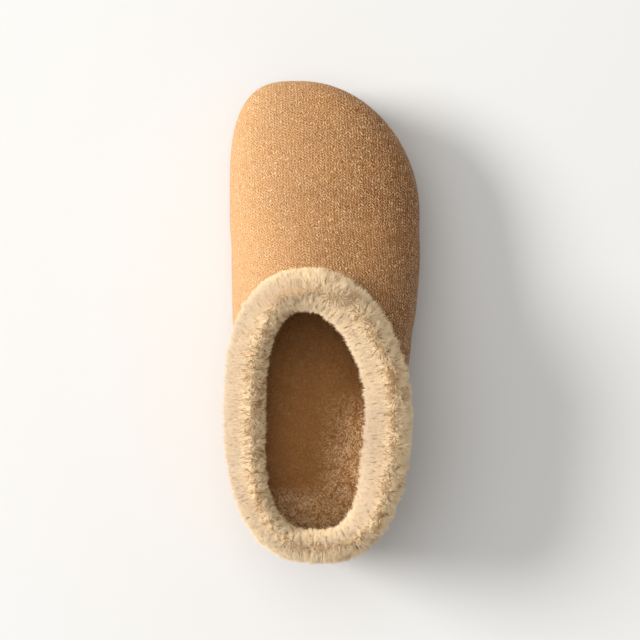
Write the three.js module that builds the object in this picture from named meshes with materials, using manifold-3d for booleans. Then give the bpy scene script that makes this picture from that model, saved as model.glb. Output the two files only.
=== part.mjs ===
// Clog slipper with a deep fur collar, right shoe, empty and standing on its sole.
// Millimetres. +Z is up, +Y runs to the toe, +X to the outer side of the foot.
// The origin is on the floor, under the middle of the whole shoe.

import * as THREE from 'three';
import { mergeVertices } from 'three/addons/utils/BufferGeometryUtils.js';
import Module from 'manifold-3d';

const wasm = await Module();
wasm.setup();

// The last: its length, its width over the ball, and its height where the collar crosses the instep
const shellLength = 258;
const ballWidth = 104;
const instepHeight = 73;

// The knitted wall, the height of its fullest level over the sole, and how far it tucks in below that
const wall = 2.8;
const bulgeUp = 10;
const tuck = 3;

// The opening in the knit, edge to edge, and where it lies on the shell
const openingLength = 128;
const openingWidth = 73;
const openingFromHeel = 8;
const openingMiddle = -5;

// The sole: heights under heel and ball, rise of the toe and of the waist, ledge beside the upper
const heelSole = 27;
const ballSole = 20;
const toeSpring = 9;
const waistRise = 4;
const ledge = 1;
const soleEdge = 3.5;
const sideGroove = 1.1;

// Tread grooves across the forefoot and the heel
const treadPitch = 9.5;
const treadWidth = 3;
const treadDepth = 2.5;
const treadMargin = 9;

// The footbed, how far its rim turns up, and its room inside the wall
const footbed = 5;
const footbedCup = 4;
const footbedRoom = 1;

// The fur roll: its section, how far it stands out from and over the edge of the knit
const rollWidth = 21.5;
const rollHeelWidth = 18;
const rollHeight = 19.5;
const rollTuft = 0.9;
const rollForward = 8;
const rollOut = 1.6;
const rollBack = 0;
const rollOverVamp = 6;
const rollOverSide = 3.2;
const slotRoom = 0.75;

// Fur locks fused on the roll
const lockLength = 5.8;
const lockRadius = 6.2;
const lockSides = 5;
const lockPitch = 18.5;
const lockSunk = 3;

// Curved pieces keep this gap
const gap = 0.3;

// Steps of the meshes
const toeSteps = 22;
const heelSteps = 15;
const rollSteps = 56;
const rollSides = 12;

// Where the round ends of the outline and of the crest begin, and how full each is
const toeRound = 0.72;
const crestRound = 0.76;
const heelRound = 0.18;
const fullness = {
  toe: { lateral: 1.97, medial: 3.2, crest: 2.15 },
  heel: { lateral: 2.3, medial: 2.3, crest: 3.0 },
};

// Sections of the last. along is a share of shellLength from the heel; lateral, medial and ridge are
// shares of ballWidth; top is a share of instepHeight; crown is the fullness of the section's arch.
const lastSections = [
  { along: 0.00, lateral: 0.394, medial: 0.413, ridge: -0.029, top: 0.890, crown: 3.2 },
  { along: 0.18, lateral: 0.394, medial: 0.413, ridge: -0.029, top: 0.885, crown: 3.2 },
  { along: 0.30, lateral: 0.428, medial: 0.436, ridge: -0.055, top: 0.890, crown: 3.2 },
  { along: 0.42, lateral: 0.465, medial: 0.458, ridge: -0.068, top: 0.950, crown: 2.8 },
  { along: 0.54, lateral: 0.505, medial: 0.468, ridge: -0.080, top: 1.000, crown: 2.3 },
  { along: 0.64, lateral: 0.523, medial: 0.472, ridge: -0.092, top: 0.905, crown: 2.2 },
  { along: 0.72, lateral: 0.519, medial: 0.481, ridge: -0.106, top: 0.830, crown: 2.2 },
  { along: 0.86, lateral: 0.519, medial: 0.481, ridge: -0.106, top: 0.765, crown: 2.2 },
  { along: 1.00, lateral: 0.519, medial: 0.481, ridge: -0.106, top: 0.740, crown: 2.2 },
];

// Levels of the sole. heel is the share of heelSole over ballSole, spring of toeSpring at the tread,
// lift of toeSpring at the top of the sole, and waist of waistRise.
const soleLevels = [
  { along: 0.00, heel: 1.00, spring: 0.12, lift: 0.00, waist: 0.0 },
  { along: 0.08, heel: 1.00, spring: 0.00, lift: 0.00, waist: 0.0 },
  { along: 0.27, heel: 0.93, spring: 0.00, lift: 0.00, waist: 0.0 },
  { along: 0.35, heel: 0.74, spring: 0.00, lift: 0.00, waist: 0.8 },
  { along: 0.43, heel: 0.46, spring: 0.00, lift: 0.00, waist: 1.0 },
  { along: 0.54, heel: 0.12, spring: 0.00, lift: 0.00, waist: 0.0 },
  { along: 0.64, heel: 0.00, spring: 0.00, lift: 0.00, waist: 0.0 },
  { along: 0.77, heel: 0.00, spring: 0.02, lift: 0.08, waist: 0.0 },
  { along: 0.89, heel: 0.00, spring: 0.42, lift: 0.32, waist: 0.0 },
  { along: 1.00, heel: 0.00, spring: 1.00, lift: 0.60, waist: 0.0 },
];

// Side of the sole, from the tread up. up is a share of the sole's height there, edge of soleEdge,
// groove of sideGroove.
const soleSide = [
  { up: 0.00, edge: 1.00, groove: 0 },
  { up: 0.05, edge: 0.48, groove: 0 },
  { up: 0.15, edge: 0.10, groove: 0 },
  { up: 0.30, edge: 0.00, groove: 0 },
  { up: 0.33, edge: 0.00, groove: 1 },
  { up: 0.38, edge: 0.00, groove: 1 },
  { up: 0.41, edge: 0.00, groove: 0 },
  { up: 0.78, edge: 0.00, groove: 0 },
  { up: 0.81, edge: 0.00, groove: 1 },
  { up: 0.86, edge: 0.00, groove: 1 },
  { up: 0.89, edge: 0.00, groove: 0 },
  { up: 1.00, edge: 0.22, groove: 0 },
];

// Opening outline: the x of its two ends from its middle, as shares of openingWidth, the share of its
// length at which it is widest, and the fullness of each quarter
const openingShape = {
  frontEnd: -0.068,
  heelEnd: 0.012,
  widest: 0.55,
  toe: { lateral: 1.87, medial: 2.6 },
  heel: { lateral: 2.5, medial: 2.75 },
};

// Stretches of the outline that carry tread grooves
const treadFields = [
  { from: 0.045, to: 0.30 },
  { from: 0.53, to: 0.91 },
];

// Rows of locks. around is degrees over the outside of the roll, lean turns the tip down again
const lockRows = [
  { around: -12, lean: 0.45, longer: 1.0 },
  { around: 48, lean: 0.5, longer: 1.05 },
  { around: 112, lean: 0.3, longer: 0.95 },
];

// Smooth curve through one column of a table, without overshoot and level at both ends
function curveOf(rows, name) {
  const places = rows.map((row) => row.along);
  const values = rows.map((row) => row[name]);
  const steps = places.slice(1).map((place, i) => place - places[i]);
  const rises = steps.map((step, i) => (values[i + 1] - values[i]) / step);
  const slopes = values.map((value, i) => {
    const before = rises[i - 1] ?? 0;
    const after = rises[i] ?? 0;
    return before * after <= 0 ? 0 : (2 * before * after) / (before + after);
  });
  return (along) => {
    const place = THREE.MathUtils.clamp(along, places[0], places.at(-1));
    const next = places.findIndex((other, i) => i > 0 && place <= other);
    const i = next - 1;
    const t = (place - places[i]) / steps[i];
    const eased = t * t * (3 - 2 * t);
    const bend = slopes[i] * t * (1 - t) ** 2 - slopes[next] * t * t * (1 - t);
    return values[i] + (values[next] - values[i]) * eased + steps[i] * bend;
  };
}

const lastCurves = {
  lateral: curveOf(lastSections, 'lateral'),
  medial: curveOf(lastSections, 'medial'),
  ridge: curveOf(lastSections, 'ridge'),
  top: curveOf(lastSections, 'top'),
  crown: curveOf(lastSections, 'crown'),
};
const soleCurves = {
  heel: curveOf(soleLevels, 'heel'),
  spring: curveOf(soleLevels, 'spring'),
  lift: curveOf(soleLevels, 'lift'),
  waist: curveOf(soleLevels, 'waist'),
};

const alongOf = (y) => y / shellLength + 0.5;
const yOf = (along) => (along - 0.5) * shellLength;
const sideSign = { lateral: 1, medial: -1 };

// Quarter of a superellipse: 1 at share 0, falling to 0 at share 1
function roundOff(share, full) {
  const inside = THREE.MathUtils.clamp(share, 0, 1);
  return (1 - inside ** full) ** (1 / full);
}

// How much of the half width, or of the crest's height, is left towards the toe and the heel
function endRound(along, form) {
  const from = form === 'crest' ? crestRound : toeRound;
  const toe = roundOff((along - from) / (1 - from), fullness.toe[form]);
  const heel = roundOff((heelRound - along) / heelRound, fullness.heel[form]);
  return toe * heel;
}

const ridgeX = (along) => lastCurves.ridge(along) * ballWidth;

// x of the shoe's plan outline on one side
function outlineX(along, side) {
  const full = sideSign[side] * lastCurves[side](along) * ballWidth - ridgeX(along);
  return ridgeX(along) + full * endRound(along, side);
}

// Top of the sole, its tread, and the fullest level of the upper
function seatZ(along) {
  const heel = (heelSole - ballSole) * soleCurves.heel(along);
  return ballSole + heel + toeSpring * soleCurves.lift(along);
}

function treadZ(along) {
  return toeSpring * soleCurves.spring(along) + waistRise * soleCurves.waist(along);
}

const fullZ = (along) => seatZ(along) + gap + bulgeUp;

// Height of the last over a plan point: a superellipse arch between both sides of its section
function lastZ(x, y) {
  const along = alongOf(y);
  const middle = ridgeX(along);
  const side = x > middle ? 'lateral' : 'medial';
  const reach = Math.abs(outlineX(along, side) - middle);
  const share = reach > 0 ? Math.abs(x - middle) / reach : 0;
  const crest = lastCurves.top(along) * instepHeight - fullZ(along);
  return fullZ(along) + crest * endRound(along, 'crest') * roundOff(share, lastCurves.crown(along));
}

const openingBack = yOf(0) + openingFromHeel;
const openingFront = openingBack + openingLength;
const openingWaist = openingBack + openingLength * openingShape.widest;

// Stations once round the shoe, from the outer side over toe, inner side and heel back. share is how
// far a station has come from the opening's widest place to the toe or the heel.
function stationsOf(toeCount, heelCount) {
  const turn = (side, end, count, down) => Array.from({ length: count }, (_, i) => {
    const angle = (Math.PI / 2) * (down ? 1 - i / count : i / count);
    return { side, end, share: Math.sin(angle) };
  });
  return [
    ...turn('lateral', 'toe', toeCount, false),
    ...turn('medial', 'toe', toeCount, true),
    ...turn('medial', 'heel', heelCount, false),
    ...turn('lateral', 'heel', heelCount, true),
  ];
}

const stations = stationsOf(toeSteps, heelSteps);

function outlinePoint(station) {
  const end = station.end === 'toe' ? yOf(1) : yOf(0);
  const y = THREE.MathUtils.lerp(openingWaist, end, station.share);
  return new THREE.Vector2(outlineX(alongOf(y), station.side), y);
}

// Point of the opening's outline, let out by so much at its front, its sides and its back
function openingPoint(station, atFront, atSide, atBack) {
  const front = station.end === 'toe';
  const end = front ? openingFront + atFront : openingBack - atBack;
  const endX = openingMiddle + openingWidth * (front ? openingShape.frontEnd : openingShape.heelEnd);
  const sideX = openingMiddle + sideSign[station.side] * (openingWidth / 2 + atSide);
  const full = openingShape[station.end][station.side];
  const x = endX + (sideX - endX) * roundOff(station.share, full);
  return new THREE.Vector2(x, THREE.MathUtils.lerp(openingWaist, end, station.share));
}

// A closed plan outline moved inwards by a distance
function insetOutline(points, distance) {
  return points.map((point, i) => {
    const before = points.at(i - 1);
    const after = points[(i + 1) % points.length];
    const along = after.clone().sub(before).normalize();
    return new THREE.Vector2(point.x - along.y * distance, point.y + along.x * distance);
  });
}

// Geometry from rings of points. The last ring joins the first, so the body is closed like a tyre.
function tyreGeometry(rings) {
  const count = rings[0].length;
  const index = [];
  rings.forEach((ring, j) => {
    const next = (j + 1) % rings.length;
    for (let k = 0; k < count; k += 1) {
      const after = (k + 1) % count;
      index.push(j * count + k, j * count + after, next * count + after);
      index.push(j * count + k, next * count + after, next * count + k);
    }
  });
  return geometryOf(rings.flat(), index);
}

function geometryOf(points, index) {
  const geometry = new THREE.BufferGeometry();
  const flat = points.flatMap((point) => [point.x, point.y, point.z]);
  geometry.setAttribute('position', new THREE.Float32BufferAttribute(flat, 3));
  geometry.setIndex(index);
  return geometry;
}

// Stacked rings, closed below and above by strips that run across from side to side. heightAcross
// gives the height of a point of the upper lid by its share across and its y.
function slabGeometry(rings, columns, heightAcross) {
  const count = rings[0].length;
  const points = rings.flat();
  const index = [];
  for (let j = 0; j < rings.length - 1; j += 1) {
    for (let k = 0; k < count; k += 1) {
      const after = (k + 1) % count;
      index.push(j * count + k, j * count + after, (j + 1) * count + after);
      index.push(j * count + k, (j + 1) * count + after, (j + 1) * count + k);
    }
  }
  const lid = (first, across, height) => {
    const rows = [];
    for (let a = 0; a <= count / 2; a += 1) {
      const right = first + ((toeSteps - a + count) % count);
      const left = first + ((toeSteps + a) % count);
      const row = [right];
      for (let c = 1; c < across && right !== left; c += 1) {
        const point = points[right].clone().lerp(points[left], c / across);
        point.z = height(point, c / across);
        points.push(point);
        row.push(points.length - 1);
      }
      rows.push(right === left ? Array(across + 1).fill(right) : [...row, left]);
    }
    return rows;
  };
  const close = (rows, upward) => {
    for (let a = 0; a < rows.length - 1; a += 1) {
      for (let c = 0; c < rows[a].length - 1; c += 1) {
        const corners = [rows[a][c], rows[a][c + 1], rows[a + 1][c + 1], rows[a + 1][c]];
        const halves = [[corners[0], corners[1], corners[2]], [corners[0], corners[2], corners[3]]];
        halves.filter((half) => new Set(half).size === 3).forEach(([p, q, r]) => {
          index.push(...(upward ? [p, q, r] : [p, r, q]));
        });
      }
    }
  };
  close(lid(0, 1), false);
  close(lid((rings.length - 1) * count, columns, heightAcross), true);
  return geometryOf(points, index);
}

function solidOf(geometry) {
  const bare = geometry.clone();
  bare.deleteAttribute('normal');
  bare.deleteAttribute('uv');
  const merged = mergeVertices(bare, 1e-4);
  const vertProperties = new Float32Array(merged.attributes.position.array);
  const triVerts = new Uint32Array(merged.index.array);
  return new wasm.Manifold(new wasm.Mesh({ numProp: 3, vertProperties, triVerts }));
}

function geometryOfSolid(solid) {
  const mesh = solid.getMesh();
  const geometry = new THREE.BufferGeometry();
  geometry.setAttribute('position', new THREE.Float32BufferAttribute(mesh.vertProperties, 3));
  geometry.setIndex(Array.from(mesh.triVerts));
  return geometry;
}

// The upper: profiles that climb from the sole over the fullest level and in to the opening, and the
// same surface again one wall further in. grown makes the room that a neighbour keeps free, which
// takes fewer rows.
const lowRows = [0, 0.35, 0.7];
const highRows = [0, 0.09, 0.18, 0.28, 0.4, 0.52, 0.65, 0.78, 0.9, 1];
const roomRows = [0, 0.28, 0.52, 0.78, 0.9, 1];

function upperGeometry(climbs, grown) {
  const outline = stations.map(outlinePoint);
  const edge = stations.map((station) => openingPoint(station, 0, 0, 0));
  const low = lowRows.map((up) => insetOutline(outline, tuck * (1 - up) ** 2).map((point) => {
    const seat = seatZ(alongOf(point.y)) + gap;
    return new THREE.Vector3(point.x, point.y, seat + bulgeUp * up);
  }));
  const high = climbs.map((row) => outline.map((point, i) => {
    const way = edge[i].clone().sub(point);
    const inward = row ** 2 * (1 + grown / way.length());
    const plan = point.clone().add(way.multiplyScalar(inward));
    return new THREE.Vector3(plan.x, plan.y, lastZ(plan.x, plan.y));
  }));
  const skin = [...low, ...high];
  const count = outline.length;
  const offset = (distance) => skin.map((ring, j) => ring.map((point, k) => {
    const around = ring[(k + 1) % count].clone().sub(ring.at(k - 1));
    const above = skin[Math.min(j + 1, skin.length - 1)][k];
    const climb = above.clone().sub(skin[Math.max(j - 1, 0)][k]);
    const normal = around.cross(climb).normalize();
    if (j === 0) normal.setZ(0).normalize();
    return point.clone().addScaledVector(normal, distance);
  }));
  return tyreGeometry([...offset(grown), ...offset(-wall - grown).reverse()]);
}

// The sole: the outline's own shape, stepped up its side, with grooves cut across its tread
const soleOutline = () => insetOutline(stations.map(outlinePoint), tuck - ledge);

function soleGeometry() {
  const outline = soleOutline();
  const rings = soleSide.map((row) => {
    const inset = soleEdge * row.edge + sideGroove * row.groove;
    return insetOutline(outline, inset).map((point) => {
      const along = alongOf(point.y);
      const z = THREE.MathUtils.lerp(treadZ(along), seatZ(along), row.up);
      return new THREE.Vector3(point.x, point.y, z);
    });
  });
  const body = solidOf(slabGeometry(rings, 1));
  return geometryOfSolid(treadCuts().reduce((solid, cut) => solid.subtract(cut), body));
}

function treadCuts() {
  return treadFields.flatMap((field) => {
    const room = (field.to - field.from) * shellLength;
    const count = Math.max(1, Math.floor(room / treadPitch));
    return Array.from({ length: count }, (_, i) => {
      const along = field.from + ((i + 0.5) * treadPitch) / shellLength;
      const outer = outlineX(along, 'lateral') - treadMargin;
      const inner = outlineX(along, 'medial') + treadMargin;
      const height = treadZ(along) + treadDepth;
      const bar = new THREE.BoxGeometry(outer - inner, treadWidth, height * 2);
      bar.translate((outer + inner) / 2, yOf(along), 0);
      return solidOf(bar);
    });
  });
}

// The footbed: lies on the sole inside the wall, and its rim turns up towards the wall
const footbedSide = [0, 0.5, 1];
const footbedColumns = 6;

function insoleGeometry() {
  const outline = stations.map(outlinePoint);
  const rim = footbed + footbedCup;
  const rings = footbedSide.map((up) => {
    const below = 1 - (up * rim) / bulgeUp;
    return insetOutline(outline, tuck * below ** 2 + wall + footbedRoom).map((point) => {
      const seat = seatZ(alongOf(point.y)) + gap;
      return new THREE.Vector3(point.x, point.y, seat + rim * up);
    });
  });
  const cupped = (point, across) => {
    const seat = seatZ(alongOf(point.y)) + gap;
    return seat + footbed + footbedCup * Math.abs(2 * across - 1) ** 4;
  };
  return slabGeometry(rings, footbedColumns, cupped);
}

// Centre line of the fur roll: over the edge of the knit, further forward and higher on the vamp
function rollCurve() {
  const points = stations.map((station) => {
    const plan = openingPoint(station, rollForward, rollOut, rollBack);
    const edge = openingPoint(station, 0, 0, 0);
    const forward = station.end === 'toe' ? station.share ** 2 : 0;
    const lift = THREE.MathUtils.lerp(rollOverSide, rollOverVamp, forward);
    return new THREE.Vector3(plan.x, plan.y, lastZ(edge.x, edge.y) + lift);
  });
  return new THREE.CatmullRomCurve3(points, true);
}

const up = new THREE.Vector3(0, 0, 1);

// Point on the roll and the way out of it, by the share of a turn and the angle over its outside
function onRoll(curve, turn, angle) {
  const centre = curve.getPointAt(turn % 1);
  const tangent = curve.getTangentAt(turn % 1);
  const outward = tangent.clone().cross(up).normalize();
  const rise = outward.clone().cross(tangent).normalize();
  const toHeel = THREE.MathUtils.smoothstep(openingWaist - centre.y, 0, openingWaist - openingBack);
  const wide = THREE.MathUtils.lerp(rollWidth, rollHeelWidth, toHeel);
  const a = (wide / 2) * Math.cos(angle);
  const b = (rollHeight / 2) * Math.sin(angle);
  const point = centre.clone().addScaledVector(outward, a).addScaledVector(rise, b);
  const normal = outward.clone().multiplyScalar(Math.cos(angle) * rollHeight);
  normal.addScaledVector(rise, Math.sin(angle) * wide).normalize();
  return { point, normal, tangent, rise };
}

// One lock: a short cone whose root is sunk in the roll and whose tip leans over
function lockSolid(curve, turn, row, number) {
  const place = onRoll(curve, turn, THREE.MathUtils.degToRad(row.around));
  const sway = 0.45 * Math.sin(number * 2.4);
  const size = 1 + 0.16 * Math.sin(number * 1.7 + row.around);
  const lean = place.rise.clone().multiplyScalar(-row.lean);
  const tip = place.normal.clone().add(lean).addScaledVector(place.tangent, sway).normalize();
  const reach = lockLength * row.longer * size;
  const cone = new THREE.ConeGeometry(lockRadius * size, reach, lockSides);
  cone.translate(0, reach / 2 - lockSunk, 0);
  cone.applyQuaternion(new THREE.Quaternion().setFromUnitVectors(new THREE.Vector3(0, 1, 0), tip));
  cone.translate(place.point.x, place.point.y, place.point.z);
  return solidOf(cone);
}

function collarGeometry() {
  const curve = rollCurve();
  const rings = Array.from({ length: rollSides }, (_, j) => {
    const angle = (j / rollSides) * 2 * Math.PI;
    return Array.from({ length: rollSteps }, (__, k) => {
      const place = onRoll(curve, k / rollSteps, angle);
      const tuft = 0.5 * Math.cos(Math.PI * (j + k)) + 0.5 * Math.sin(1.9 * k + 2.7 * j);
      return place.point.addScaledVector(place.normal, rollTuft * tuft);
    });
  });
  const count = Math.max(3, Math.round(curve.getLength() / lockPitch));
  const locks = lockRows.flatMap((row, r) => Array.from({ length: count }, (_, i) => {
    const turn = (i + (r % 2) / 2) / count;
    return lockSolid(curve, turn, row, i + r * count);
  }));
  const roll = locks.reduce((solid, lock) => solid.add(lock), solidOf(tyreGeometry(rings)));
  const seated = roll.subtract(solidOf(upperGeometry(roomRows, slotRoom)));
  const bodies = seated.decompose().sort((one, other) => other.volume() - one.volume());
  return geometryOfSolid(bodies[0]);
}

const finishes = {
  upper: { color: 0xc8996b, roughness: 0.95 },
  sole: { color: 0xb98d62, roughness: 0.7 },
  insole: { color: 0xa98660, roughness: 1 },
  fur_collar: { color: 0xdcc19a, roughness: 1 },
};

function meshOf(name, geometry) {
  const material = new THREE.MeshStandardMaterial({ ...finishes[name], metalness: 0 });
  const mesh = new THREE.Mesh(geometry, material);
  mesh.name = name;
  return mesh;
}

const shoe = new THREE.Group();
shoe.add(meshOf('sole', soleGeometry()));
shoe.add(meshOf('upper', upperGeometry(highRows, 0)));
shoe.add(meshOf('insole', insoleGeometry()));
shoe.add(meshOf('fur_collar', collarGeometry()));

// The middle of the whole shoe comes over the origin
const box = new THREE.Box3().setFromObject(shoe, true);
const middle = box.getCenter(new THREE.Vector3());
shoe.position.set(-middle.x, -middle.y, -box.min.z);

export default shoe;
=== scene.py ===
import math

import bpy
import numpy as np
from mathutils import Matrix, Vector


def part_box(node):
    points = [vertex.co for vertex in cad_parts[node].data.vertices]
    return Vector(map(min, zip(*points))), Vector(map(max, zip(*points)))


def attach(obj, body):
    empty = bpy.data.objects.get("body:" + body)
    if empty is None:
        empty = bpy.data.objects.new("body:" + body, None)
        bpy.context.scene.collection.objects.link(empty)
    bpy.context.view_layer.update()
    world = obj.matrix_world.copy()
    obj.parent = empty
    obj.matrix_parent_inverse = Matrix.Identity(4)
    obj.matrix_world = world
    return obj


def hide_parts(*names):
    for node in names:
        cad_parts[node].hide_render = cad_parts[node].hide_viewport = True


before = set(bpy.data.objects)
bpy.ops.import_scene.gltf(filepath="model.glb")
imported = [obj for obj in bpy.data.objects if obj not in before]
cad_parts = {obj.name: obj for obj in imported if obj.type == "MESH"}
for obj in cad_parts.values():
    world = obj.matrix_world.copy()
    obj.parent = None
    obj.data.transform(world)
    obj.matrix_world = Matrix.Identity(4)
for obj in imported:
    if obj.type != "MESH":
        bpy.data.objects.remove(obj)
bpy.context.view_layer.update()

bl_info = {
    "name": "Clog slipper",
    "version": (1, 0, 0),
    "blender": (4, 5, 0),
    "location": "View3D > Sidebar > Slipper",
    "description": "Right clog slipper with a knitted upper and a deep fur collar",
    "category": "Object",
}

# Lengths of the shoe are millimetres here, and metres once they are in a mesh
MM = 0.001

# Sizes of the last, the sole and the collar's roll. The soft roll lies a little off the line of the
# solid one and is slimmer at the heel, so that its fur ends where it should.
SHELL_LENGTH = 258.0
BALL_WIDTH = 104.0
INSTEP_HEIGHT = 73.0
WALL = 2.8
BULGE_UP = 10.0
TUCK = 3.0
OPENING_LENGTH = 128.0
OPENING_WIDTH = 73.0
OPENING_FROM_HEEL = 8.0
OPENING_MIDDLE = -5.0
HEEL_SOLE = 27.0
BALL_SOLE = 20.0
TOE_SPRING = 9.0
WAIST_RISE = 4.0
LEDGE = 1.0
SOLE_EDGE = 3.5
SIDE_GROOVE = 1.1
TREAD_PITCH = 9.5
TREAD_WIDTH = 3.0
TREAD_DEPTH = 2.5
TREAD_MARGIN = 9.0
TREAD_FIELDS = ((0.045, 0.30), (0.53, 0.91))
FOOTBED = 5.0
FOOTBED_CUP = 4.0
FOOTBED_ROOM = 1.0
ROLL_WIDTH = 21.5
ROLL_HEEL_WIDTH = 16.4
ROLL_HEIGHT = 19.5
ROLL_FORWARD = 8.0
ROLL_OUT = 1.6
ROLL_BACK = 0.0
ROLL_SHIFT = (1.4, -0.9)
ROLL_OVER_VAMP = 6.0
ROLL_OVER_SIDE = 3.2
GAP = 0.3

# Where the outline and the crest begin to round off, and how full the superellipse quarters are,
# with 1 for the lateral and -1 for the medial side, or as a pair of both
TOE_ROUND, CREST_ROUND, HEEL_ROUND = 0.72, 0.76, 0.18
TOE_FULL = {1: 1.97, -1: 3.2, "crest": 2.15}
HEEL_FULL = {1: 2.3, -1: 2.3, "crest": 3.0}
OPENING_ENDS = {"toe": -0.068, "heel": 0.012}
OPENING_WIDEST = 0.55
OPENING_FULL = {"toe": (1.87, 2.6), "heel": (2.5, 2.75)}

# Sections of the last and levels of the sole, by the share of the shell's length from the heel
LAST = {
    "along": (0.00, 0.18, 0.30, 0.42, 0.54, 0.64, 0.72, 0.86, 1.00),
    "lateral": (0.394, 0.394, 0.428, 0.465, 0.505, 0.523, 0.519, 0.519, 0.519),
    "medial": (0.413, 0.413, 0.436, 0.458, 0.468, 0.472, 0.481, 0.481, 0.481),
    "ridge": (-0.029, -0.029, -0.055, -0.068, -0.080, -0.092, -0.106, -0.106, -0.106),
    "top": (0.890, 0.885, 0.890, 0.950, 1.000, 0.905, 0.830, 0.765, 0.740),
    "crown": (3.2, 3.2, 3.2, 2.8, 2.3, 2.2, 2.2, 2.2, 2.2),
}
SOLE = {
    "along": (0.00, 0.08, 0.27, 0.35, 0.43, 0.54, 0.64, 0.77, 0.89, 1.00),
    "heel": (1.00, 1.00, 0.93, 0.74, 0.46, 0.12, 0.00, 0.00, 0.00, 0.00),
    "spring": (0.12, 0.00, 0.00, 0.00, 0.00, 0.00, 0.00, 0.02, 0.42, 1.00),
    "lift": (0.00, 0.00, 0.00, 0.00, 0.00, 0.00, 0.00, 0.08, 0.32, 0.60),
    "waist": (0.0, 0.0, 0.0, 0.8, 1.0, 0.0, 0.0, 0.0, 0.0, 0.0),
}
SOLE_SIDE = {
    "up": (0.00, 0.05, 0.15, 0.30, 0.33, 0.38, 0.41, 0.78, 0.81, 0.86, 0.89, 0.97, 1.00),
    "edge": (1.00, 0.48, 0.10, 0.00, 0.00, 0.00, 0.00, 0.00, 0.00, 0.00, 0.00, 0.04, 0.22),
    "groove": (0, 0, 0, 0, 1, 1, 0, 0, 1, 1, 0, 0, 0),
}

# The collar's fur: its bands in degrees round the section, from the outer side over the crest, how
# far its roots lie under the roll's surface, and by how many degrees it parts to the lateral side
# of the crest
FUR_BANDS = (("outer", -72, 28), ("top", 20, 112), ("inner", 104, 222))
ROLL_UNDER_FUR = -2.2
PARTING = 30.0

# How firmly the fur is combed down and its tufts draw together, how far its shading turns upwards,
# and the share and the wildness of stray hairs
FUR_COMBED = 0.95
FUR_GATHERED = 0.3
FUR_UPWARDS = 4.0
FUR_STRAYS = 0.14
STRAY_WILD = 3.6

# Cells of the clumps, in mm
FUR_CLUMP = 2.0
FOOTBED_CLUMP = 6.0
LINING_CLUMP = 3.6

# A strand: its points, the depth of its blade for its width, how stiffly its root and its tip keep
# to the normal, the spread of its own length and thickness, what its clump adds to its length, and
# the clump's share of its tint
STRAND_POINTS = 5
BLADE_DEPTH = 0.6
STIFF_ROOT, STIFF_TIP = 0.8, 0.6
OWN_LENGTH = (0.75, 1.1)
OWN_THICKNESS = (0.75, 1.25)
CLUMP_LENGTH = 0.16
CLUMP_TINT = 0.6

# How far a stitch's leg climbs, in rows
KNIT_SLANT = 1.1

# Steps of the tables that give the lengths over the cloth, and of the upper's grid: round the toe
# half and the heel half, up to the fullest level, and from there to the opening
SECTION_ROWS, SECTION_COLUMNS, CREST_STEPS = 240, 159, 4000
UPPER_TOE_STEPS, UPPER_HEEL_STEPS = 104, 62
UPPER_LOW, UPPER_HIGH = 8, 64

# Soft creases: the middle along the shell's length and across the ball's width, the crease's half
# length by that width and half width by that length, the turn of its long axis in degrees, and its
# height in mm, negative for a trough
CREASES = (
    (0.655, 0.40, 0.110, 0.020, 28, -0.75),
    (0.690, 0.40, 0.100, 0.018, 24, 0.35),
    (0.640, -0.40, 0.090, 0.018, -24, -0.45),
    (0.610, 0.12, 0.200, 0.035, 6, -0.40),
    (0.700, -0.10, 0.260, 0.040, -5, -0.35),
    (0.800, 0.05, 0.220, 0.060, 8, 0.40),
    (0.470, 0.46, 0.060, 0.030, 62, -0.50),
    (0.460, -0.44, 0.060, 0.028, -64, -0.45),
)

# The camera looks down from over the shoe's inner side: mm from the shoe's middle and above the
# floor. The photo's scale holds at a level about half way up the shoe.
CAMERA_ASIDE = -62.2
CAMERA_ALONG = -2.9
CAMERA_HEIGHT = 1400.0
PHOTO_MM_PER_PIXEL = 0.545
PHOTO_PIXELS = 640
SCALE_LEVEL = 35.0
SENSOR = 36.0

# Studio: places and sizes in metres, powers in watts
LIGHTS = {
    "key": {"place": (-4.2, 0.95, 2.5), "size": (2.3, 1.6), "power": 292.0},
    "top": {"place": (-1.2, 0.9, 4.2), "size": (4.6, 4.6), "power": 93.0},
}
LIGHT_COLOUR = (1.0, 0.985, 0.965)
WORLD_COLOUR = (1.0, 0.995, 0.985, 1.0)
WORLD_STRENGTH = 0.36
FLOOR_COLOUR = (0.72, 0.717, 0.706, 1.0)
FLOOR_HALF = 3.0

UP = np.array([0.0, 0.0, 1.0])


def unit(vectors):
    return vectors / np.maximum(np.linalg.norm(vectors, axis=-1, keepdims=True), 1e-9)


def through(table, name, along):
    """Monotone cubic through one column of a table, level at both ends."""
    places = np.array(table[next(iter(table))], float)
    values = np.array(table[name], float)
    step = np.diff(places)
    rise = np.diff(values) / step
    before, after = np.r_[0.0, rise], np.r_[rise, 0.0]
    both = before * after > 0
    slope = np.where(both, 2 * before * after / np.where(both, before + after, 1.0), 0.0)
    place = np.clip(along, places[0], places[-1])
    i = np.clip(np.searchsorted(places, place) - 1, 0, len(step) - 1)
    t = (place - places[i]) / step[i]
    bend = slope[i] * t * (1 - t) ** 2 - slope[i + 1] * t * t * (1 - t)
    return values[i] + (values[i + 1] - values[i]) * t * t * (3 - 2 * t) + step[i] * bend


def along_of(y):
    return y / SHELL_LENGTH + 0.5


def y_of(along):
    return (along - 0.5) * SHELL_LENGTH


def round_off(share, full):
    """Quarter of a superellipse: 1 at share 0, falling to 0 at share 1."""
    return (1 - np.clip(share, 0, 1) ** full) ** (1 / full)


def end_round(along, form):
    """What is left of a half width or the crest at the ends: a superellipse quarter at each."""
    start = CREST_ROUND if form == "crest" else TOE_ROUND
    toe = round_off((along - start) / (1 - start), TOE_FULL[form])
    return toe * round_off((HEEL_ROUND - along) / HEEL_ROUND, HEEL_FULL[form])


def ridge_x(along):
    return through(LAST, "ridge", along) * BALL_WIDTH


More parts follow.
